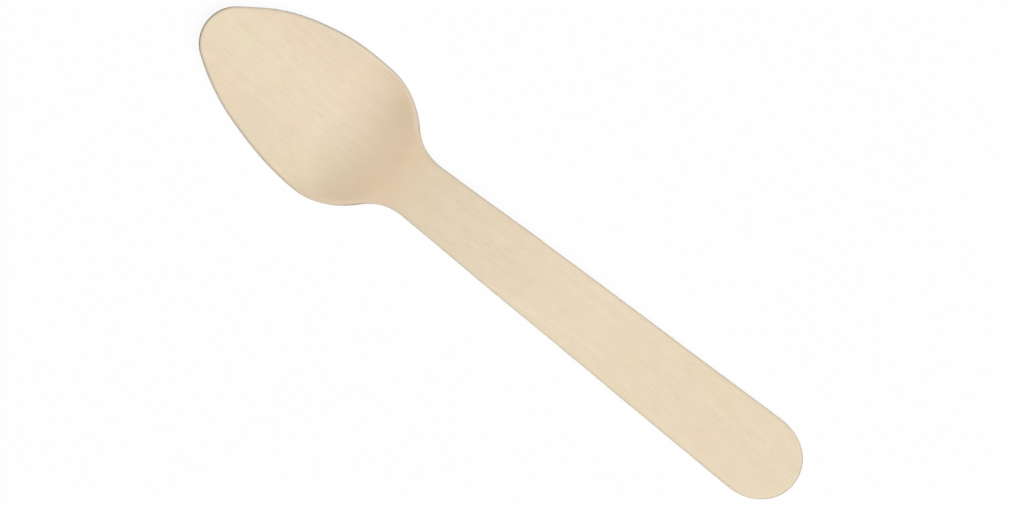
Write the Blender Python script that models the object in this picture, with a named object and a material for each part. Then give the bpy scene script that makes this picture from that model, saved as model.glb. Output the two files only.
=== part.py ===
"""Disposable wooden teaspoon: one sheet of birch veneer, stamped to outline and pressed to shape.

The blank's outline is a chain of tangent arcs, a straight edge and a half-elliptical handle end,
measured from the bowl's tip. The press gives it a bowl floor parallel to the handle, with rising sides
and a strip along its middle that is arched a little, so that the bowl stands on the strip's two edges
and doesn't rock. A wall climbs from the floor to a crease across the neck, and an arched neck runs out
into a straight handle. The sheet is then thickened, its stamped edges are rounded as tumbling leaves
them, and it is laid on the table.

+X points to the bowl's tip, +Y across, +Z up. The origin is at the middle of the spoon's box, at the
height of the table.
"""

import math

import bmesh
import bpy
import numpy as np
from mathutils import Matrix, Vector

MM = 0.001

# Outline of the stamped blank. Distances along it start at the bowl's tip
LENGTH = 110.0 * MM
TIP_RADIUS = 5.6 * MM
FLANK_RADIUS = 37.0 * MM
BOWL_WIDTH = 23.2 * MM
BOWL_WIDEST_AT = 25.4 * MM
SHOULDER_RADIUS = 11.9 * MM
NECK_FILLET_RADIUS = 7.3 * MM
NECK_WIDTH = 9.6 * MM
NECK_AT = 41.0 * MM
HANDLE_WIDTH = 12.7 * MM
HANDLE_WIDTH_FROM_END = 10.0 * MM
ROUND_END_LENGTH = 7.4 * MM

# The sheet and its tumbled edges
THICKNESS = 1.5 * MM
EDGE_RADIUS = 0.45 * MM
EDGE_SEGMENTS = 4

# The pressed form. Angles are between the sheet and its straight handle
FLOOR_LENGTH = 21.0 * MM
STRIP_WIDTH = 8.4 * MM
STRIP_ARCH = 0.05 * MM
WALL_STRAIGHT_FROM = 33.3 * MM
CREASE_AT = 35.8 * MM
CREASE_WIDTH = 2.2 * MM
CREASE_RADIUS = 18.0 * MM
WALL_ANGLE = math.radians(20.3)
NECK_ANGLE = math.radians(15.5)
ARCH_EASE = 1.2
HANDLE_STRAIGHT_FROM = 71.5 * MM
SIDE_RISE = 1.2 * MM

# How far the crease's bow fades out over the bowl and the neck
CREASE_BOW_FADE = 13.0 * MM

# The mesh. Its rows cross the sheet, round at both ends and bowed along the crease
RIM_BAND = 0.9 * MM
END_ROW_HALF_WIDTH = 3.4 * MM
END_ROW_FADE = 8.0 * MM
COLUMNS_EACH_SIDE = 8
FLOOR_ROWS = 13
WALL_ROWS = 15
CREASE_ROWS = 3
ARCH_ROWS = 22
ARCH_ROW_SPREAD = 1.4
HANDLE_ROWS = 5
ROUND_END_ROWS = 6

# How finely the curves are sampled, and how often the two searches repeat
CURVE_STEPS = 400
PROFILE_STEPS = 2000
BOW_PASSES = 30
TILT_PASSES = 6

# Edges sharper than these are rounded, and shown as edges
STAMPED_EDGE_ANGLE = math.radians(60.0)
SHADED_EDGE_ANGLE = math.radians(35.0)

# Birch veneer, colour in linear light
BIRCH_COLOUR = (0.79, 0.66, 0.48, 1.0)
BIRCH_ROUGHNESS = 0.65


def ease(value, start, end):
    """0 before start, 1 after end, with a smooth climb between them."""
    share = np.clip((value - start) / (end - start), 0.0, 1.0)
    return share * share * (3.0 - 2.0 * share)


def meeting_point(first, first_reach, second, second_reach):
    """The point at the given distances from two points, on the right of the way from one to the other."""
    span = second - first
    distance = span.length
    along = (first_reach**2 - second_reach**2 + distance**2) / (2.0 * distance)
    across = math.sqrt(first_reach**2 - along**2)
    ahead = span.normalized()
    return first + ahead * along + Vector((ahead.y, -ahead.x)) * across


def arc(centre, first, last):
    """Points on an arc about a centre, the short way from its first point to its last."""
    start = first - centre
    turn = -start.angle_signed(last - centre)
    angles = math.atan2(start.y, start.x) + np.linspace(0.0, turn, CURVE_STEPS)
    return np.array(centre) + start.length * np.column_stack((np.cos(angles), np.sin(angles)))


def outline():
    """One side of the blank, from the tip to the handle's end, as arcs and an edge joined smoothly."""
    tip = Vector((TIP_RADIUS, 0.0))
    shoulder = Vector((BOWL_WIDEST_AT, BOWL_WIDTH / 2 - SHOULDER_RADIUS))
    flank = meeting_point(tip, FLANK_RADIUS - TIP_RADIUS, shoulder, FLANK_RADIUS - SHOULDER_RADIUS)
    tip_to_flank = flank + (tip - flank).normalized() * FLANK_RADIUS
    flank_to_shoulder = flank + (shoulder - flank).normalized() * FLANK_RADIUS

    # The fillet's middle lies its radius beside the handle's edge, and it touches the shoulder
    narrow = Vector((NECK_AT, NECK_WIDTH / 2))
    wide = Vector((LENGTH - HANDLE_WIDTH_FROM_END, HANDLE_WIDTH / 2))
    ahead = (wide - narrow).normalized()
    outward = Vector((-ahead.y, ahead.x))
    beside = narrow + outward * NECK_FILLET_RADIUS - shoulder
    back = beside.dot(ahead)
    reach = SHOULDER_RADIUS + NECK_FILLET_RADIUS
    fillet = shoulder + beside + ahead * (math.sqrt(back**2 - beside.length_squared + reach**2) - back)
    shoulder_to_fillet = shoulder + (fillet - shoulder).normalized() * SHOULDER_RADIUS
    fillet_to_edge = fillet - outward * NECK_FILLET_RADIUS

    # The edge runs on into the round end, which narrows it as an ellipse does
    turn = np.linspace(0.0, math.pi / 2, CURVE_STEPS)
    edge_x = np.linspace(fillet_to_edge.x, LENGTH - ROUND_END_LENGTH, CURVE_STEPS)
    end_x = LENGTH - ROUND_END_LENGTH * (1.0 - np.sin(turn))
    widths = [narrow.y + (x - narrow.x) * ahead.y / ahead.x for x in (edge_x, end_x)]
    curves = [
        arc(tip, Vector((0.0, 0.0)), tip_to_flank),
        arc(flank, tip_to_flank, flank_to_shoulder),
        arc(shoulder, flank_to_shoulder, shoulder_to_fillet),
        arc(fillet, shoulder_to_fillet, fillet_to_edge),
        np.column_stack((edge_x, widths[0])),
        np.column_stack((end_x, widths[1] * np.cos(turn))),
    ]
    return np.vstack([curves[0]] + [curve[1:] for curve in curves[1:]])


def inset(points, distance):
    """The same line moved towards the blank's inside, square to itself."""
    ahead = np.gradient(points, axis=0)
    ahead /= np.linalg.norm(ahead, axis=1)[:, None]
    return points + distance * np.column_stack((ahead[:, 1], -ahead[:, 0]))


def crease_shift(along, across):
    """How far the press's form lies back at a side: most at the crease, none in the floor or handle."""
    before = ease(along, CREASE_AT - CREASE_BOW_FADE, CREASE_AT)
    bow = before * (1.0 - ease(along, CREASE_AT, CREASE_AT + CREASE_BOW_FADE))
    return bow * (np.hypot(CREASE_RADIUS, across) - CREASE_RADIUS)


def station_at(along, across):
    """Where the row through a point crosses the middle line."""
    return along + crease_shift(along, across)


def along_at(station, across):
    """Where the row from a station lies at a distance from the middle line."""
    along = station
    for _ in range(BOW_PASSES):
        along = station - crease_shift(along, across)
    return along


def row_stations():
    """Where the rows cross the middle line: close where the sheet bends, wide where it is straight."""
    crease_start = CREASE_AT - CREASE_WIDTH / 2
    crease_end = CREASE_AT + CREASE_WIDTH / 2
    round_start = LENGTH - ROUND_END_LENGTH
    # Start, end, number of rows, and a power above 1 where rows start close and spread out
    stretches = [
        (RIM_BAND, FLOOR_LENGTH, FLOOR_ROWS, 1.0),
        (FLOOR_LENGTH, crease_start, WALL_ROWS, 1.0),
        (crease_start, crease_end, CREASE_ROWS, 1.0),
        (crease_end, HANDLE_STRAIGHT_FROM, ARCH_ROWS, ARCH_ROW_SPREAD),
        (HANDLE_STRAIGHT_FROM, round_start, HANDLE_ROWS, 1.0),
        (round_start, LENGTH - RIM_BAND, ROUND_END_ROWS, 1.0),
    ]
    stations = [RIM_BAND]
    for start, end, count, power in stretches:
        shares = np.linspace(0.0, 1.0, count + 1)[1:] ** power
        stations.extend(start + (end - start) * shares)
    return stations


class FlatBlank:
    """The flat blank as a mesh: rows between the inset edges, and a band that is square to the rim."""

    def __init__(self):
        self.rim = outline()
        self.inner = inset(self.rim, RIM_BAND)
        self.steps = np.arange(len(self.rim))
        self.tip_steps = self.steps[: 2 * CURVE_STEPS]
        self.end_steps = self.steps[:-CURVE_STEPS:-1]
        self.bm = bmesh.new()
        self.rim_places = {}
        self.add_rows()
        self.add_rim_band()

    def point(self, line, step):
        """The point on a line at a step, which may lie between two of its points."""
        return [np.interp(step, self.steps, line[:, axis]) for axis in (0, 1)]

    def step_across(self, part, across):
        """The step in one part of the inset edge that lies at a distance from the middle line."""
        return np.interp(across, self.inner[part, 1], part)

    def round_shift(self, station, share):
        """How far a row near either end follows that end's round outline, at a share of its width."""
        across = share * END_ROW_HALF_WIDTH
        first, last = RIM_BAND, LENGTH - RIM_BAND
        tip_back = self.point(self.inner, self.step_across(self.tip_steps, across))[0] - first
        end_back = last - self.point(self.inner, self.step_across(self.end_steps, across))[0]
        tip_fade = 1.0 - ease(station, first, first + END_ROW_FADE)
        end_fade = ease(station, last - END_ROW_FADE, last)
        return tip_fade * tip_back - end_fade * end_back

    def side_step(self, station):
        """The step where the row from a station meets the inset edge."""
        stations = station_at(self.inner[:, 0], self.inner[:, 1]) - self.round_shift(station, 1.0)
        return np.interp(station, stations, self.steps)

    def add_row(self, station, end_part):
        """One row of points across the blank, and where the outer ones' partners lie on the rim."""
        side = self.side_step(station)
        half_width = self.point(self.inner, side)[1]
        row = []
        for column in range(-COLUMNS_EACH_SIDE, COLUMNS_EACH_SIDE + 1):
            share = abs(column) / COLUMNS_EACH_SIDE
            across = share * half_width
            along = along_at(station, across) + self.round_shift(station, share)
            vert = self.bm.verts.new((along, math.copysign(across, column), 0.0))
            row.append(vert)
            # The whole of the first and the last row lies on the inset edge
            if end_part is not None or share == 1.0:
                step = side if end_part is None else self.step_across(end_part, across)
                rim_along, rim_across = self.point(self.rim, step)
                self.rim_places[vert] = (rim_along, math.copysign(rim_across, column), 0.0)
        return [self.bm.edges.new(pair) for pair in zip(row, row[1:])]

    def add_rows(self):
        stations = row_stations()
        end_parts = {stations[0]: self.tip_steps, stations[-1]: self.end_steps}
        previous = None
        for station in stations:
            edges = self.add_row(station, end_parts.get(station))
            if previous:
                bmesh.ops.bridge_loops(self.bm, edges=previous + edges)
            previous = edges

    def add_rim_band(self):
        """Draws the inset edge's points out to the rim, each square to it."""
        boundary = [edge for edge in self.bm.edges if edge.is_boundary]
        drawn = set(bmesh.ops.extrude_edge_only(self.bm, edges=boundary)["geom"])
        for vert, place in self.rim_places.items():
            outer = next(v for v in (e.other_vert(vert) for e in vert.link_edges) if v in drawn)
            outer.co = place


class Press:
    """Height of the pressed sheet's underside over the bowl's floor."""

    def __init__(self):
        self.stations = np.linspace(0.0, LENGTH, PROFILE_STEPS + 1)
        slopes = np.tan(self.angle(self.stations))
        steps = (slopes[1:] + slopes[:-1]) / 2 * np.diff(self.stations)
        self.heights = np.concatenate(([0.0], np.cumsum(steps)))

    def angle(self, station):
        """Angle of the middle line: up the wall, over the crease, then out along the arched neck."""
        wall = WALL_ANGLE * ease(station, FLOOR_LENGTH, WALL_STRAIGHT_FROM)
        run = np.clip((station - CREASE_AT) / (HANDLE_STRAIGHT_FROM - CREASE_AT), 0.0, 1.0)
        neck = NECK_ANGLE * (1.0 - run) ** ARCH_EASE
        past = ease(station, CREASE_AT - CREASE_WIDTH / 2, CREASE_AT + CREASE_WIDTH / 2)
        return wall * (1.0 - past) + neck * past

    def height(self, along, across):
        """The middle line's height, and in the bowl its slightly arched strip and its rising sides."""
        station = station_at(along, across)
        in_bowl = 1.0 - ease(station, FLOOR_LENGTH, CREASE_AT)
        past_strip = max(2 * abs(across) - STRIP_WIDTH, 0.0) / (BOWL_WIDTH - STRIP_WIDTH)
        arch = STRIP_ARCH * (1.0 - ease(abs(across), 0.0, STRIP_WIDTH / 2))
        return np.interp(station, self.stations, self.heights) + in_bowl * (SIDE_RISE * past_strip**2 + arch)


def pressed_sheet():
    """The underside of the sheet after the press, with its tip towards +X and its faces down."""
    bm = FlatBlank().bm
    press = Press()
    for vert in bm.verts:
        along, across, _ = vert.co
        vert.co = (LENGTH / 2 - along, across, press.height(along, across))
    bmesh.ops.recalc_face_normals(bm, faces=bm.faces[:])
    if sum(face.normal.z for face in bm.faces) > 0:
        bmesh.ops.reverse_faces(bm, faces=bm.faces[:])
    return bm


def thicken(bm):
    """Gives the sheet its thickness, square to its surface and upwards."""
    bmesh.ops.solidify(bm, geom=bm.faces[:], thickness=THICKNESS)
    bmesh.ops.recalc_face_normals(bm, faces=bm.faces[:])


def round_edges(bm):
    """Rounds the two stamped edges that run all the way round."""
    sharp = [edge for edge in bm.edges if edge.calc_face_angle(0.0) > STAMPED_EDGE_ANGLE]
    bmesh.ops.bevel(
        bm,
        geom=sharp,
        offset=EDGE_RADIUS,
        offset_type="OFFSET",
        segments=EDGE_SEGMENTS,
        profile=0.5,
        affect="EDGES",
    )


def lay_down(bm):
    """Tilts the spoon until its bowl and its handle's end rest on one level, then centres its box."""
    for _ in range(TILT_PASSES):
        bowl = min((vert.co for vert in bm.verts if vert.co.x > 0), key=lambda co: co.z)
        handle = min((vert.co for vert in bm.verts if vert.co.x < 0), key=lambda co: co.z)
        tilt = math.atan2(bowl.z - handle.z, bowl.x - handle.x)
        bmesh.ops.rotate(bm, verts=bm.verts[:], matrix=Matrix.Rotation(tilt, 3, "Y"))
    corners = np.array([vert.co for vert in bm.verts])
    middle = (corners.min(axis=0) + corners.max(axis=0)) / 2
    foot = Vector((middle[0], middle[1], corners[:, 2].min()))
    bmesh.ops.translate(bm, verts=bm.verts[:], vec=-foot)


def birch():
    material = bpy.data.materials.new("birch_veneer")
    material.use_nodes = True
    shader = material.node_tree.nodes["Principled BSDF"]
    shader.inputs["Base Color"].default_value = BIRCH_COLOUR
    shader.inputs["Roughness"].default_value = BIRCH_ROUGHNESS
    shader.inputs["Metallic"].default_value = 0.0
    return material


def spoon():
    bm = pressed_sheet()
    thicken(bm)
    round_edges(bm)
    lay_down(bm)
    mesh = bpy.data.meshes.new("spoon")
    bm.to_mesh(mesh)
    bm.free()
    mesh.materials.append(birch())
    mesh.shade_smooth()
    mesh.set_sharp_from_angle(angle=SHADED_EDGE_ANGLE)
    piece = bpy.data.objects.new("spoon", mesh)
    bpy.context.scene.collection.objects.link(piece)
    return piece


for old in list(bpy.data.objects):
    bpy.data.objects.remove(old, do_unlink=True)
spoon()
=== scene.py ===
"""Looks of the disposable wooden teaspoon: a finely meshed sheet of birch veneer in place of the CAD node.

The sheet repeats the CAD part's outline and press in metres, and is fitted to the CAD node's box. It is
slightly uneven, as real veneer is, its bowl lies a little askew, and its width differs by up to 0.2 mm on
each side. Each point keeps its place on the flat sheet, which the procedural birch material reads, so the
grain runs through the wood and bends with it.
"""

import math

import bmesh
import bpy
import numpy as np
from mathutils import Matrix, Vector, kdtree, noise


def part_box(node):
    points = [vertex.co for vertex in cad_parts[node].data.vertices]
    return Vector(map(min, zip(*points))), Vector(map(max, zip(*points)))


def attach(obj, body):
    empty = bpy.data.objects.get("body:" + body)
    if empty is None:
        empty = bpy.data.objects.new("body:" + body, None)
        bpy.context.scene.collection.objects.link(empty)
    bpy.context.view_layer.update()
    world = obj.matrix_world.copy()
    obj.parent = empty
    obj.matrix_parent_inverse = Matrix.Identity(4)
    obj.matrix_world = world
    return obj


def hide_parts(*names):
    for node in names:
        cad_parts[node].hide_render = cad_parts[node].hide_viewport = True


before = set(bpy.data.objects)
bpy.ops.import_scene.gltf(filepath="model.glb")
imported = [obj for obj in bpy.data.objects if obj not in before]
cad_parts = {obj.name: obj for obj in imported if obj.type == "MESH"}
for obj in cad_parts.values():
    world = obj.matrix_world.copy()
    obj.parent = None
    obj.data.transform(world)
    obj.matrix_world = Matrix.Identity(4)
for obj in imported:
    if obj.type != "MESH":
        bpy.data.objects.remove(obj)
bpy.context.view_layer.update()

MM = 0.001

# The blank's outline, as in the CAD part. Distances along it start at the bowl's tip
LENGTH = 110.0 * MM
TIP_RADIUS = 5.6 * MM
FLANK_RADIUS = 37.0 * MM
BOWL_WIDTH = 23.2 * MM
BOWL_WIDEST_AT = 25.4 * MM
SHOULDER_RADIUS = 11.9 * MM
NECK_FILLET_RADIUS = 7.3 * MM
NECK_WIDTH = 9.6 * MM
NECK_AT = 41.0 * MM
HANDLE_WIDTH = 12.7 * MM
HANDLE_WIDTH_FROM_END = 10.0 * MM
ROUND_END_LENGTH = 7.4 * MM

# The sheet and the press, as in the CAD part. Angles are between the sheet and its straight handle
THICKNESS = 1.5 * MM
EDGE_RADIUS = 0.45 * MM
FLOOR_LENGTH = 21.0 * MM
STRIP_WIDTH = 8.4 * MM
STRIP_ARCH = 0.05 * MM
WALL_STRAIGHT_FROM = 33.3 * MM
CREASE_AT = 35.8 * MM
CREASE_WIDTH = 2.2 * MM
CREASE_RADIUS = 18.0 * MM
CREASE_BOW_FADE = 13.0 * MM
WALL_ANGLE = math.radians(20.3)
NECK_ANGLE = math.radians(15.5)
ARCH_EASE = 1.2
HANDLE_STRAIGHT_FROM = 71.5 * MM
SIDE_RISE = 1.2 * MM

# The fine mesh
EDGE_SEGMENTS = 8
RIM_BAND = 0.9 * MM
COLUMNS_EACH_SIDE = 20
END_ROW_HALF_WIDTH = 3.4 * MM
END_ROW_FADE = 8.0 * MM
ROW_SPACING = 0.45 * MM
CREASE_ROW_SPACING = 0.12 * MM
CURVE_STEPS = 400
PROFILE_STEPS = 4000
PROFILE_MARGIN = 10.0 * MM
SLOPE_STEP = 0.05 * MM
BOW_PASSES = 30
TILT_PASSES = 6

# How uneven the tumbled sheet is
UNEVEN_SEED = 216
WOBBLE = 0.035 * MM
WOBBLE_LENGTHS = (3.5 * MM, 3.5 * MM, 6.0 * MM)
WARP = 0.05 * MM
WARP_LENGTHS = (30.0 * MM, 12.0 * MM, 30.0 * MM)

# How far aside the stamped blank lies, and by what share it is wider, at distances in mm from the tip
LEANS = {1: 0.06 * MM, 10: -0.25 * MM, 14: -0.25 * MM, 28: 0.21 * MM, 80: 0.0, 108: -0.06 * MM}
WIDENINGS = {2: 0.0, 7: 0.020, 8: 0.020, 15: 0.0, 26: 0.0, 35: -0.028, 45: -0.028, 58: -0.008}


def ease(value, start, end):
    """0 before start, 1 after end, with a smooth climb between them."""
    share = np.clip((value - start) / (end - start), 0.0, 1.0)
    return share * share * (3.0 - 2.0 * share)


def meeting_point(first, first_reach, second, second_reach):
    """The point at the given distances from two points, on the right of the way from one to the other."""
    span = second - first
    distance = span.length
    along = (first_reach**2 - second_reach**2 + distance**2) / (2.0 * distance)
    across = math.sqrt(first_reach**2 - along**2)
    ahead = span.normalized()
    return first + ahead * along + Vector((ahead.y, -ahead.x)) * across


def arc(centre, first, last):
    """Points on an arc about a centre, the short way from its first point to its last."""
    start = first - centre
    turn = -start.angle_signed(last - centre)
    angles = math.atan2(start.y, start.x) + np.linspace(0.0, turn, CURVE_STEPS)
    return np.array(centre) + start.length * np.column_stack((np.cos(angles), np.sin(angles)))


def outline():
    """One side of the blank, from the tip to the handle's end, as arcs and an edge joined smoothly."""
    tip = Vector((TIP_RADIUS, 0.0))
    shoulder = Vector((BOWL_WIDEST_AT, BOWL_WIDTH / 2 - SHOULDER_RADIUS))
    flank = meeting_point(tip, FLANK_RADIUS - TIP_RADIUS, shoulder, FLANK_RADIUS - SHOULDER_RADIUS)
    tip_to_flank = flank + (tip - flank).normalized() * FLANK_RADIUS
    flank_to_shoulder = flank + (shoulder - flank).normalized() * FLANK_RADIUS

    # The fillet's middle lies its radius beside the handle's edge, and it touches the shoulder
    narrow = Vector((NECK_AT, NECK_WIDTH / 2))
    wide = Vector((LENGTH - HANDLE_WIDTH_FROM_END, HANDLE_WIDTH / 2))
    ahead = (wide - narrow).normalized()
    outward = Vector((-ahead.y, ahead.x))
    beside = narrow + outward * NECK_FILLET_RADIUS - shoulder
    back = beside.dot(ahead)
    reach = SHOULDER_RADIUS + NECK_FILLET_RADIUS
    fillet = shoulder + beside + ahead * (math.sqrt(back**2 - beside.length_squared + reach**2) - back)
    shoulder_to_fillet = shoulder + (fillet - shoulder).normalized() * SHOULDER_RADIUS
    fillet_to_edge = fillet - outward * NECK_FILLET_RADIUS

    # The edge runs on into the round end, which narrows it as an ellipse does
    turn = np.linspace(0.0, math.pi / 2, CURVE_STEPS)
    edge_x = np.linspace(fillet_to_edge.x, LENGTH - ROUND_END_LENGTH, CURVE_STEPS)
    end_x = LENGTH - ROUND_END_LENGTH * (1.0 - np.sin(turn))
    widths = [narrow.y + (x - narrow.x) * ahead.y / ahead.x for x in (edge_x, end_x)]
    curves = [
        arc(tip, Vector((0.0, 0.0)), tip_to_flank),
        arc(flank, tip_to_flank, flank_to_shoulder),
        arc(shoulder, flank_to_shoulder, shoulder_to_fillet),
        arc(fillet, shoulder_to_fillet, fillet_to_edge),
        np.column_stack((edge_x, widths[0])),
        np.column_stack((end_x, widths[1] * np.cos(turn))),
    ]
    return np.vstack([curves[0]] + [curve[1:] for curve in curves[1:]])


def inset(points, distance):
    """The same line moved towards the blank's inside, square to itself."""
    ahead = np.gradient(points, axis=0)
    ahead /= np.linalg.norm(ahead, axis=1)[:, None]
    return points + distance * np.column_stack((ahead[:, 1], -ahead[:, 0]))


def crease_shift(along, across):
    """How far the press's form lies back at a side: most at the crease, none in the floor or handle."""
    before = ease(along, CREASE_AT - CREASE_BOW_FADE, CREASE_AT)
    bow = before * (1.0 - ease(along, CREASE_AT, CREASE_AT + CREASE_BOW_FADE))
    return bow * (np.hypot(CREASE_RADIUS, across) - CREASE_RADIUS)


def along_at(station, across):
    """Where the row from a station lies at a distance from the middle line."""
    along = station
    for _ in range(BOW_PASSES):
        along = station - crease_shift(along, across)
    return along


def row_stations():
    """Where the rows cross the middle line: close where the sheet bends over the crease."""
    crease_start = CREASE_AT - CREASE_WIDTH
    crease_end = CREASE_AT + CREASE_WIDTH
    stretches = [
        (RIM_BAND, crease_start, ROW_SPACING),
        (crease_start, crease_end, CREASE_ROW_SPACING),
        (crease_end, LENGTH - RIM_BAND, ROW_SPACING),
    ]
    stations = [RIM_BAND]
    for start, end, spacing in stretches:
        stations.extend(np.linspace(start, end, round((end - start) / spacing) + 1)[1:])
    return stations


class FlatSheet:
    """The thick sheet before the press: its points as (along, across, depth), and its faces."""

    def __init__(self):
        self.rim = outline()
        self.inner = inset(self.rim, RIM_BAND)
        self.steps = np.arange(len(self.rim))
        self.tip_steps = self.steps[: 2 * CURVE_STEPS]
        self.end_steps = self.steps[:-CURVE_STEPS:-1]
        self.points = []
        self.faces = []
        self.rim_places = {}
        rows = self.rows()
        top = self.add_side(rows, THICKNESS)
        bottom = self.add_side(rows, 0.0)
        self.add_edge(top, bottom)

    def point(self, line, step):
        """The point on a line at a step, which may lie between two of its points."""
        return [np.interp(step, self.steps, line[:, axis]) for axis in (0, 1)]

    def step_across(self, part, across):
        """The step in one part of the inset edge that lies at a distance from the middle line."""
        return np.interp(across, self.inner[part, 1], part)

    def round_shift(self, station, share):
        """How far a row near either end follows that end's round outline, at a share of its width."""
        across = share * END_ROW_HALF_WIDTH
        first, last = RIM_BAND, LENGTH - RIM_BAND
        tip_back = self.point(self.inner, self.step_across(self.tip_steps, across))[0] - first
        end_back = last - self.point(self.inner, self.step_across(self.end_steps, across))[0]
        tip_fade = 1.0 - ease(station, first, first + END_ROW_FADE)
        end_fade = ease(station, last - END_ROW_FADE, last)
        return tip_fade * tip_back - end_fade * end_back

    def side_step(self, station):
        """The step where the row from a station meets the inset edge."""
        along, across = self.inner.T
        stations = along + crease_shift(along, across) - self.round_shift(station, 1.0)
        return np.interp(station, stations, self.steps)

    def row(self, station, end_part):
        """One row of places across the sheet, each with its partner on the rim if it is an outer one."""
        side = self.side_step(station)
        half_width = self.point(self.inner, side)[1]
        places = []
        for column in range(-COLUMNS_EACH_SIDE, COLUMNS_EACH_SIDE + 1):
            share = abs(column) / COLUMNS_EACH_SIDE
            across = share * half_width
            along = along_at(station, across) + self.round_shift(station, share)
            place = (along, math.copysign(across, column))
            places.append(place)
            # The whole of the first and the last row lies on the inset edge
            if end_part is not None or share == 1.0:
                step = side if end_part is None else self.step_across(end_part, across)
                rim_along, rim_across = self.point(self.rim, step)
                self.rim_places[place] = (rim_along, math.copysign(rim_across, column))
        return places

    def rows(self):
        stations = row_stations()
        end_parts = {stations[0]: self.tip_steps, stations[-1]: self.end_steps}
        return [self.row(station, end_parts.get(station)) for station in stations]

    def add_point(self, place, depth):
        self.points.append((*place, depth))
        return len(self.points) - 1

    def add_side(self, rows, depth):
        """One face of the sheet. Returns the loop of its outer points, each with its place."""
        grid = [[(self.add_point(place, depth), place) for place in row] for row in rows]
        for row, following in zip(grid, grid[1:]):
            for corners in zip(row, row[1:], following[1:], following):
                self.faces.append([number for number, _ in corners])
        right = [row[-1] for row in grid[1:-1]]
        left = [row[0] for row in grid[1:-1]]
        return grid[0] + right + grid[-1][::-1] + left[::-1]

    def edge_profile(self):
        """How far in and how deep each line round the edge lies, from the top over the side."""
        turns = np.linspace(0.0, math.pi / 2, EDGE_SEGMENTS + 1)
        upper = [(1.0 - math.sin(turn), EDGE_RADIUS * (1.0 - math.cos(turn))) for turn in turns]
        rounds = [(share * EDGE_RADIUS, THICKNESS - drop) for share, drop in upper]
        lower = [(share * EDGE_RADIUS, drop) for share, drop in reversed(upper)]
        return rounds + [(0.0, THICKNESS / 2)] + lower

    def add_edge(self, top, bottom):
        """The rounded edge between the two faces, as lines of points round the sheet."""
        loops = [[number for number, _ in top]]
        for way_in, depth in self.edge_profile():
            loop = []
            for _, inner in top:
                rim = self.rim_places[inner]
                share = way_in / RIM_BAND
                place = [r + share * (i - r) for r, i in zip(rim, inner)]
                loop.append(self.add_point(place, depth))
            loops.append(loop)
        loops.append([number for number, _ in bottom])
        for loop, following in zip(loops, loops[1:]):
            ahead = loop[1:] + loop[:1]
            following_ahead = following[1:] + following[:1]
            self.faces.extend(zip(loop, ahead, following_ahead, following))


class Press:
    """Height of the pressed sheet's underside over the bowl's floor."""

    def __init__(self):
        self.stations = np.linspace(-PROFILE_MARGIN, LENGTH + PROFILE_MARGIN, PROFILE_STEPS + 1)
        slopes = np.tan(self.angle(self.stations))
        steps = (slopes[1:] + slopes[:-1]) / 2 * np.diff(self.stations)
        self.heights = np.concatenate(([0.0], np.cumsum(steps)))

    def angle(self, station):
        """Angle of the middle line: up the wall, over the crease, then out along the arched neck."""
        wall = WALL_ANGLE * ease(station, FLOOR_LENGTH, WALL_STRAIGHT_FROM)
        run = np.clip((station - CREASE_AT) / (HANDLE_STRAIGHT_FROM - CREASE_AT), 0.0, 1.0)
        neck = NECK_ANGLE * (1.0 - run) ** ARCH_EASE
        past = ease(station, CREASE_AT - CREASE_WIDTH / 2, CREASE_AT + CREASE_WIDTH / 2)
        return wall * (1.0 - past) + neck * past

    def height(self, along, across):
        """The middle line's height, and in the bowl its slightly arched strip and its rising sides."""
        station = along + crease_shift(along, across)
        in_bowl = 1.0 - ease(station, FLOOR_LENGTH, CREASE_AT)
        past_strip = np.maximum(2 * abs(across) - STRIP_WIDTH, 0.0) / (BOWL_WIDTH - STRIP_WIDTH)
        arch = STRIP_ARCH * (1.0 - ease(abs(across), 0.0, STRIP_WIDTH / 2))
        middle = np.interp(station, self.stations, self.heights)
        return middle + in_bowl * (SIDE_RISE * past_strip**2 + arch)


def uneven(places, size, lengths):
    """A smooth offset of up to about size for each place, which changes over the lengths."""
    noise.seed_set(UNEVEN_SEED)
    scaled = places / np.array(lengths)
    return size * np.array([noise.noise_vector(place, noise_basis="PERLIN_ORIGINAL") for place in scaled])


def eased(along, values):
    """The values given at distances in mm from the tip, with a smooth way from each to the next."""
    stations, steps = [station * MM for station in values], list(values.values())
    total = np.full(len(along), steps[0])
    for number in range(1, len(steps)):
        climb = ease(along, stations[number - 1], stations[number])
        total += (steps[number] - steps[number - 1]) * climb
    return total


def pressed(flat):
    """The sheet's points after the press, square to its form, with veneer's slight unevenness."""
    press = Press()
    along, across, depth = flat.T
    step = SLOPE_STEP
    height = press.height(along, across)
    slope = (press.height(along + step, across) - press.height(along - step, across)) / (2 * step)
    tilt = (press.height(along, across + step) - press.height(along, across - step)) / (2 * step)
    upright = np.column_stack((-slope, -tilt, np.ones(len(flat))))
    upright /= np.linalg.norm(upright, axis=1)[:, None]
    places = np.column_stack((along, across, height)) + upright * depth[:, None]
    places += uneven(flat, WOBBLE, WOBBLE_LENGTHS) + uneven(flat, WARP, WARP_LENGTHS)
    places[:, 1] += across * eased(along, WIDENINGS) + eased(along, LEANS)
    return places * (-1.0, 1.0, 1.0) + (LENGTH / 2, 0.0, 0.0)


def laid_down(places):
    """The sheet tilted until its bowl and its handle's end rest on one level."""
    for _ in range(TILT_PASSES):
        bowl, handle = places[places[:, 0] > 0], places[places[:, 0] < 0]
        way = bowl[bowl[:, 2].argmin()] - handle[handle[:, 2].argmin()]
        turn = Matrix.Rotation(math.atan2(way[2], way[0]), 3, "Y")
        places = places @ np.array(turn).T
    return places


def fitted(places, low, high):
    """The sheet moved and scaled, by well under a hundredth, so that its box is the CAD node's."""
    own_low, own_high = places.min(axis=0), places.max(axis=0)
    return np.array(low) + (places - own_low) * np.array(high - low) / (own_high - own_low)


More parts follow.
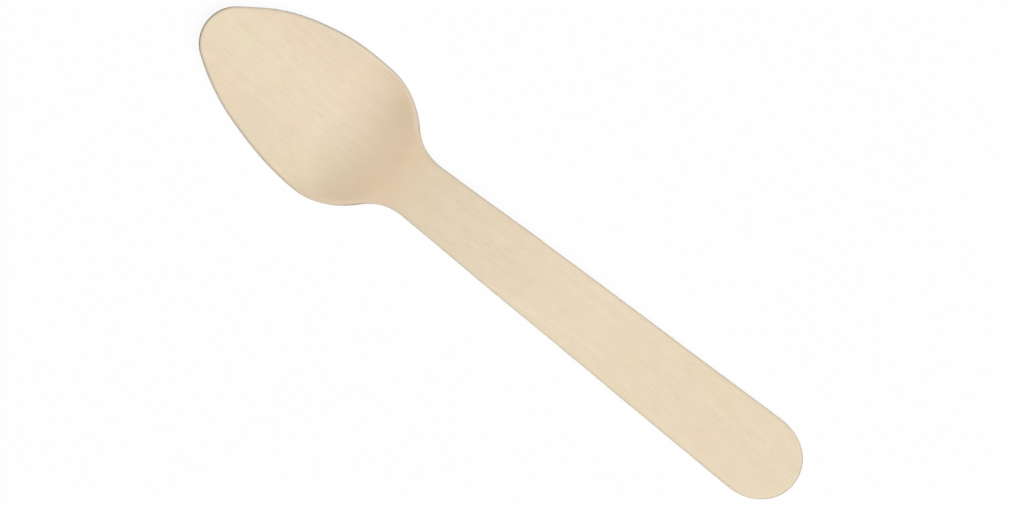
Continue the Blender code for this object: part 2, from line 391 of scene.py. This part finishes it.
def rim_distances(places):
    """How far each place on the flat sheet is from the blank's outline."""
    rim = outline()
    tree = kdtree.KDTree(2 * len(rim))
    for index, (along, across) in enumerate(rim):
        tree.insert((along, across, 0.0), 2 * index)
        tree.insert((along, -across, 0.0), 2 * index + 1)
    tree.balance()
    return [tree.find((along, across, 0.0))[2] for along, across, _ in places]


def keep_numbers(mesh, name, kind, field, values):
    """Stores one number or vector for each of the mesh's points, for its material to read."""
    attribute = mesh.attributes.new(name, kind, "POINT")
    attribute.data.foreach_set(field, np.asarray(values, np.float32).ravel())


def build_spoon():
    sheet = FlatSheet()
    flat = np.array(sheet.points)
    places = fitted(laid_down(pressed(flat)), *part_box("spoon"))
    mesh = bpy.data.meshes.new("birch_spoon")
    mesh.from_pydata(places.tolist(), [], sheet.faces)
    bm = bmesh.new()
    bm.from_mesh(mesh)
    bmesh.ops.recalc_face_normals(bm, faces=bm.faces[:])
    bm.to_mesh(mesh)
    bm.free()
    stations = flat[:, 0] + crease_shift(flat[:, 0], flat[:, 1])
    keep_numbers(mesh, "sheet_mm", "FLOAT_VECTOR", "vector", flat / MM)
    keep_numbers(mesh, "station_mm", "FLOAT", "value", stations / MM)
    keep_numbers(mesh, "rim_mm", "FLOAT", "value", np.array(rim_distances(flat)) / MM)
    mesh.shade_smooth()
    spoon = bpy.data.objects.new("birch_spoon", mesh)
    bpy.context.scene.collection.objects.link(spoon)
    return spoon


class Graph:
    """Adds nodes to a material or a world and links them in one call."""

    def __init__(self, owner):
        owner.use_nodes = True
        self.tree = owner.node_tree

    def add(self, kind, inputs=(), **settings):
        node = self.tree.nodes.new(kind)
        for name, value in settings.items():
            setattr(node, name, value)
        for key, value in dict(inputs).items():
            self.put(node.inputs[key], value)
        return node

    def put(self, socket, value):
        if isinstance(value, bpy.types.NodeSocket):
            self.tree.links.new(value, socket)
        else:
            socket.default_value = value

    def attribute(self, name, output):
        return self.add("ShaderNodeAttribute", attribute_name=name).outputs[output]

    def maths(self, operation, *values):
        return self.add("ShaderNodeMath", enumerate(values), operation=operation).outputs[0]

    def times(self, product, *factors):
        for factor in factors:
            product = self.maths("MULTIPLY", product, factor)
        return product

    def vectors(self, operation, first, second):
        return self.add("ShaderNodeVectorMath", {0: first, 1: second}, operation=operation).outputs[0]

    def noise(self, place, rates, detail=2.0, roughness=0.5):
        """Noise that changes about this often per mm along, across and through the sheet."""
        vector = self.vectors("MULTIPLY", place, rates)
        inputs = {"Vector": vector, "Scale": 1.0, "Detail": detail, "Roughness": roughness}
        return self.add("ShaderNodeTexNoise", inputs).outputs["Fac"]

    def ramp(self, value, low, high, to_low=0.0, to_high=1.0):
        """The value's way from low to high, turned smoothly into the way from to_low to to_high."""
        inputs = {"Value": value, "From Min": low, "From Max": high, "To Min": to_low, "To Max": to_high}
        return self.add("ShaderNodeMapRange", inputs, interpolation_type="SMOOTHSTEP").outputs[0]

    def mix(self, share, first, second):
        node = self.add("ShaderNodeMix", data_type="RGBA")
        for socket, value in zip([s for s in node.inputs if s.enabled], (share, first, second)):
            self.put(socket, value)
        return next(s for s in node.outputs if s.enabled)

    def layered(self, colour, *layers):
        """The colour under layers of others, each given as its share and its colour."""
        for share, layer in layers:
            colour = self.mix(share, colour, layer)
        return colour


# Birch's colours, and the painted shade and highlight, in linear light
BIRCH = (0.808, 0.686, 0.506, 1.0)
ROSY_BIRCH = (0.829, 0.670, 0.497, 1.0)
STRAW_BIRCH = (0.802, 0.692, 0.492, 1.0)
PALE_BIRCH_AND_PAINTED_HIGHLIGHT = (0.860, 0.745, 0.570, 1.0)
LATE_WOOD_AND_PAINTED_SHADE = (0.700, 0.560, 0.385, 1.0)
PORE = (0.430, 0.290, 0.165, 1.0)
PRESSED_BIRCH_AND_PAINTED_SHADE = (0.832, 0.655, 0.430, 1.0)
CREASED_BIRCH_AND_PAINTED_SHADE = (0.838, 0.600, 0.420, 1.0)
STAMPED_EDGE = (0.805, 0.695, 0.560, 1.0)
EDGE_LINE = (0.735, 0.625, 0.495, 1.0)
END_GRAIN_AND_PAINTED_SHADE = (0.380, 0.315, 0.240, 1.0)
END_PORE = (0.260, 0.200, 0.140, 1.0)

# The material's distances on the sheet, in mm as in the mesh's attributes
GRAIN_WANDER = 5.0
WARMEST_AT = CREASE_AT / MM - 0.8
ROUND_FROM = EDGE_RADIUS / MM

# Its finish
RELIEF_HEIGHT = 0.02 * MM
RELIEF_STRENGTH = 0.55
SPECULAR = 0.35


class Veneer:
    """Rotary-cut birch: faint rings and streaks along the sheet, short pores, darker stamped edges, and
    painted shade and highlights on the bowl.
    """

    def __init__(self, material):
        graph = self.graph = Graph(material)
        self.sheet = graph.attribute("sheet_mm", "Vector")
        self.station = graph.attribute("station_mm", "Fac")
        self.rim = graph.attribute("rim_mm", "Fac")
        self.across = graph.add("ShaderNodeSeparateXYZ", {0: self.sheet}).outputs["Y"]
        normal = graph.add("ShaderNodeTexCoord").outputs["Normal"]
        self.facing = graph.add("ShaderNodeSeparateXYZ", {0: normal}).outputs
        self.upright = graph.maths("ABSOLUTE", self.facing["Z"])
        self.on_edge = graph.ramp(self.upright, 0.97, 0.50)

        # The grain wanders a little from side to side along the sheet
        wander = graph.noise(self.sheet, (0.022, 0.05, 0.0), detail=1.0)
        aside = graph.add("ShaderNodeCombineXYZ", {1: graph.times(wander, GRAIN_WANDER)}).outputs[0]
        self.grain = graph.vectors("ADD", self.sheet, aside)

        self.fibres = graph.noise(self.grain, (0.10, 5.0, 6.0), detail=4.0, roughness=0.62)
        pores = graph.noise(self.grain, (0.62, 11.0, 9.0), detail=0.0)
        self.pore_share = graph.ramp(pores, 0.72, 0.82, 0.0, 0.24)
        self.lines = graph.noise(self.sheet, (0.18, 2.0, 9.0), detail=3.0, roughness=0.65)
        self.dots = graph.noise(self.sheet, (2.5, 11.0, 11.0))

    def flat_colour(self):
        """The wood of the sheet before it was stamped."""
        graph, grain = self.graph, self.grain
        patches = graph.noise(grain, (0.055, 0.13, 0.1))
        bands = graph.noise(grain, (0.010, 0.42, 0.9), detail=3.0, roughness=0.6)
        streaks = graph.noise(grain, (0.06, 1.5, 2.0))
        mottle = graph.noise(grain, (0.45, 0.95, 0.5), detail=3.0, roughness=0.6)
        return graph.layered(
            BIRCH,
            (graph.ramp(patches, 0.50, 0.68), ROSY_BIRCH),
            (graph.ramp(patches, 0.48, 0.34), STRAW_BIRCH),
            (graph.ramp(bands, 0.40, 0.72, 0.0, 0.16), LATE_WOOD_AND_PAINTED_SHADE),
            (graph.ramp(streaks, 0.50, 0.75, 0.0, 0.16), LATE_WOOD_AND_PAINTED_SHADE),
            (graph.ramp(streaks, 0.50, 0.25, 0.0, 0.20), PALE_BIRCH_AND_PAINTED_HIGHLIGHT),
            (graph.ramp(mottle, 0.50, 0.72, 0.0, 0.14), LATE_WOOD_AND_PAINTED_SHADE),
            (graph.ramp(mottle, 0.50, 0.28, 0.0, 0.30), PALE_BIRCH_AND_PAINTED_HIGHLIGHT),
            (graph.ramp(self.fibres, 0.40, 0.80, 0.0, 0.22), LATE_WOOD_AND_PAINTED_SHADE),
            (self.pore_share, PORE),
        )

    def pressed_colour_and_painted_shade(self, colour):
        """The wood of the spoon: darker towards the handle's end, warmer and darker about the crease
        partly as pressed wood and partly as painted shade, and painted shade on the bowl's sides before
        the shoulders.
        """
        graph, station = self.graph, self.station
        from_crease = graph.maths("ABSOLUTE", graph.maths("SUBTRACT", station, WARMEST_AT))
        blotches = graph.noise(self.grain, (0.24, 0.30, 0.1), detail=3.0, roughness=0.6)
        blotchy = graph.ramp(blotches, 0.3, 0.7, 0.12, 0.62)

        # Painted shade on the bowl's rising sides near the rim, before the shoulders
        before_shoulder = graph.times(graph.ramp(station, 21.0, 25.0), graph.ramp(station, 31.0, 27.0))
        painted_shade_on_side = graph.ramp(self.rim, 3.5, 0.8, 0.0, 0.3)
        return graph.layered(
            colour,
            (graph.ramp(station, 62.0, 78.0, 0.0, 0.16), LATE_WOOD_AND_PAINTED_SHADE),
            # Partly pressed wood and partly painted shade: warmer and darker over the wall and crease,
            # which face away from the lamp
            (graph.ramp(from_crease, 10.0, 0.0, 0.0, 0.5), PRESSED_BIRCH_AND_PAINTED_SHADE),
            (graph.times(graph.ramp(from_crease, 6.5, 0.0), blotchy), CREASED_BIRCH_AND_PAINTED_SHADE),
            (graph.times(before_shoulder, painted_shade_on_side), LATE_WOOD_AND_PAINTED_SHADE),
        )

    def edge_colours(self):
        """The colours of the stamped edge along the grain and across it, and how far it cuts across."""
        graph, upright = self.graph, self.upright
        along_colour = graph.mix(graph.ramp(self.lines, 0.42, 0.68), STAMPED_EDGE, EDGE_LINE)
        end_grain_and_painted_shade = graph.mix(graph.ramp(self.dots, 0.52, 0.74), END_GRAIN_AND_PAINTED_SHADE, END_PORE)

        # The level part of the normal, from a little more than 1 so that it never comes to 0
        level = graph.maths("SQRT", graph.maths("SUBTRACT", 1.01, graph.times(upright, upright)))
        to_ends = graph.maths("DIVIDE", graph.maths("ABSOLUTE", self.facing["X"]), level)
        return along_colour, end_grain_and_painted_shade, graph.ramp(to_ends, 0.35, 0.95)

    def stamped_colour_and_painted_light(self, colour):
        """The same wood, darker along the stamped edge and its end grain, with painted shade at the bowl's
        tip and shoulders and painted light along the bowl's sides.
        """
        graph, station, rim, upright = self.graph, self.station, self.rim, self.upright
        along_colour, end_grain_and_painted_shade, end_share = self.edge_colours()
        edge_colour = graph.mix(end_share, along_colour, end_grain_and_painted_shade)
        # Painted shade: the edge's end grain darker towards the bowl's tip, which faces away from the lamp
        shade_to_tip = graph.ramp(station, 60.0, 0.0, 0.0, 0.62)
        painted_tip_shade = graph.times(end_share, graph.ramp(upright, 0.99, 0.75), shade_to_tip)

        # Painted shade on the shoulders' upper edge, on the side towards the handle, where the lamp would
        # make it gleam
        shoulders = graph.times(graph.ramp(station, 23.0, 28.0), graph.ramp(station, 48.0, 40.0))
        to_handle = graph.ramp(self.facing["X"], 0.22, -0.12, 0.0, 0.85)
        shaded_upper_edge = graph.times(graph.ramp(upright, 0.65, 0.90), graph.ramp(rim, 1.0, 0.5))

        # Painted light on the bowl's rounded edge: a painted highlight along the side at negative across,
        # and painted shade on the other side beside the tip
        rounding = graph.ramp(rim, ROUND_FROM, 0.10)
        painted_highlight_side = graph.times(graph.ramp(self.across, -3.0, -6.0), graph.ramp(station, 44.0, 20.0, 0.0, 0.9))
        painted_shade_side = graph.times(graph.ramp(self.across, 1.0, 4.0), graph.ramp(station, 9.0, 2.5, 0.0, 0.32))
        return graph.layered(
            colour,
            (graph.times(self.on_edge, 0.80), edge_colour),
            (painted_tip_shade, end_grain_and_painted_shade),
            (graph.times(to_handle, shaded_upper_edge, shoulders), LATE_WOOD_AND_PAINTED_SHADE),
            (graph.ramp(rim, 0.6, 0.15, 0.0, 0.06), STAMPED_EDGE),
            (graph.times(painted_highlight_side, rounding), PALE_BIRCH_AND_PAINTED_HIGHLIGHT),
            (graph.times(painted_shade_side, rounding), end_grain_and_painted_shade),
        )

    def roughness(self):
        """Matt wood, a little rougher on the edge."""
        on_faces = self.graph.ramp(self.fibres, 0.3, 0.8, 0.56, 0.68)
        return self.graph.maths("ADD", on_faces, self.graph.times(self.on_edge, 0.15))

    def relief(self):
        """Fibres and pores on the faces, lines and cut pores on the edge."""
        graph = self.graph
        threads = graph.noise(self.grain, (0.30, 16.0, 14.0))
        on_faces = graph.maths("SUBTRACT", graph.times(self.fibres, 0.6), self.pore_share)
        on_faces = graph.maths("ADD", on_faces, graph.times(threads, 0.35))
        on_edge = graph.maths("ADD", graph.times(self.lines, 2.5), graph.times(self.dots, 1.5))
        height = graph.maths("ADD", on_faces, graph.times(on_edge, self.on_edge))
        inputs = {"Height": height, "Strength": RELIEF_STRENGTH, "Distance": RELIEF_HEIGHT}
        return graph.add("ShaderNodeBump", inputs).outputs["Normal"]


def birch():
    """The veneer's procedural material."""
    material = bpy.data.materials.new("birch_veneer_looks")
    veneer = Veneer(material)
    colour = veneer.stamped_colour_and_painted_light(veneer.pressed_colour_and_painted_shade(veneer.flat_colour()))
    shader = veneer.graph.tree.nodes["Principled BSDF"]
    veneer.graph.put(shader.inputs["Base Color"], colour)
    veneer.graph.put(shader.inputs["Roughness"], veneer.roughness())
    veneer.graph.put(shader.inputs["Normal"], veneer.relief())
    shader.inputs["Specular IOR Level"].default_value = SPECULAR
    return material


# The photograph's view: straight down, with the way from the bowl's tip to the handle's end running this
# far to the right and this far down
AXIS_RIGHT, AXIS_DOWN = 0.78427, 0.62042
CAMERA_TURN = math.atan2(-AXIS_DOWN, -AXIS_RIGHT)
FRAME_WIDTH = 148.6 * MM
FRAME_CENTRE = Vector((-0.39, -0.485, 2.6)) * MM
CAMERA_LENS = 120.0
SENSOR_WIDTH = 36.0
CLIP_START = 0.01
CLIP_END = 20.0


def add_camera():
    data = bpy.data.cameras.new("camera")
    data.lens = CAMERA_LENS
    data.sensor_width = SENSOR_WIDTH
    data.clip_start = CLIP_START
    data.clip_end = CLIP_END
    camera = bpy.data.objects.new("camera", data)
    distance = FRAME_WIDTH * CAMERA_LENS / SENSOR_WIDTH
    camera.location = FRAME_CENTRE + Vector((0.0, 0.0, distance))
    camera.rotation_euler = (0.0, 0.0, CAMERA_TURN)
    bpy.context.scene.collection.objects.link(camera)
    bpy.context.scene.camera = camera


# A wide soft lamp over the handle's end, and an even glow from all round
KEY_DIRECTION = Vector((-0.40, 0.03, 0.913))
KEY_WIDTH = math.radians(24.0)
KEY_STRENGTH = 2.72
GLOW_STRENGTH = 0.18
BACKDROP_STRENGTH = 0.990
WHITE = (1.0, 1.0, 1.0, 1.0)


def add_lamp():
    data = bpy.data.lights.new("key", "SUN")
    data.angle = KEY_WIDTH
    data.energy = KEY_STRENGTH
    lamp = bpy.data.objects.new("key", data)
    lamp.location = KEY_DIRECTION
    lamp.rotation_euler = KEY_DIRECTION.to_track_quat("Z", "Y").to_euler()
    bpy.context.scene.collection.objects.link(lamp)


def add_world():
    """White to the camera, and a soft glow to everything else."""
    world = bpy.data.worlds.new("studio")
    bpy.context.scene.world = world
    graph = Graph(world)
    seen = graph.add("ShaderNodeLightPath").outputs["Is Camera Ray"]
    strength = graph.ramp(seen, 0.0, 1.0, GLOW_STRENGTH, BACKDROP_STRENGTH)
    background = graph.tree.nodes["Background"]
    background.inputs["Color"].default_value = WHITE
    graph.put(background.inputs["Strength"], strength)


FLOOR_SIZE = 6.0
FLOOR_DROP = 0.02 * MM
FLOOR_COLOUR = (0.93, 0.93, 0.93, 1.0)
FLOOR_WHITE_STRENGTH = 0.997
FLOOR_WHITE_SHARE = 0.93


def add_floor():
    """A pale floor. The camera sees it partly as plain white, which keeps the spoon's shadow faint."""
    bm = bmesh.new()
    bmesh.ops.create_grid(bm, x_segments=1, y_segments=1, size=FLOOR_SIZE / 2)
    mesh = bpy.data.meshes.new("floor")
    bm.to_mesh(mesh)
    bm.free()
    floor = bpy.data.objects.new("floor", mesh)
    floor.location.z = -FLOOR_DROP
    bpy.context.scene.collection.objects.link(floor)
    material = bpy.data.materials.new("pale_floor")
    graph = Graph(material)
    shader = graph.tree.nodes["Principled BSDF"]
    shader.inputs["Base Color"].default_value = FLOOR_COLOUR
    shader.inputs["Roughness"].default_value = 1.0
    shader.inputs["Specular IOR Level"].default_value = 0.0
    white = graph.add("ShaderNodeEmission", {"Color": WHITE, "Strength": FLOOR_WHITE_STRENGTH})
    seen = graph.add("ShaderNodeLightPath").outputs["Is Camera Ray"]
    share = graph.times(seen, FLOOR_WHITE_SHARE)
    mixed = graph.add("ShaderNodeMixShader", {0: share, 1: shader.outputs[0], 2: white.outputs[0]})
    output = graph.tree.nodes["Material Output"]
    graph.put(output.inputs["Surface"], mixed.outputs[0])
    mesh.materials.append(material)
    return floor


spoon = build_spoon()
spoon.data.materials.append(birch())
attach(spoon, "root")
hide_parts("spoon")

add_floor()
add_camera()
add_lamp()
add_world()
bpy.context.scene.view_settings.view_transform = "Standard"
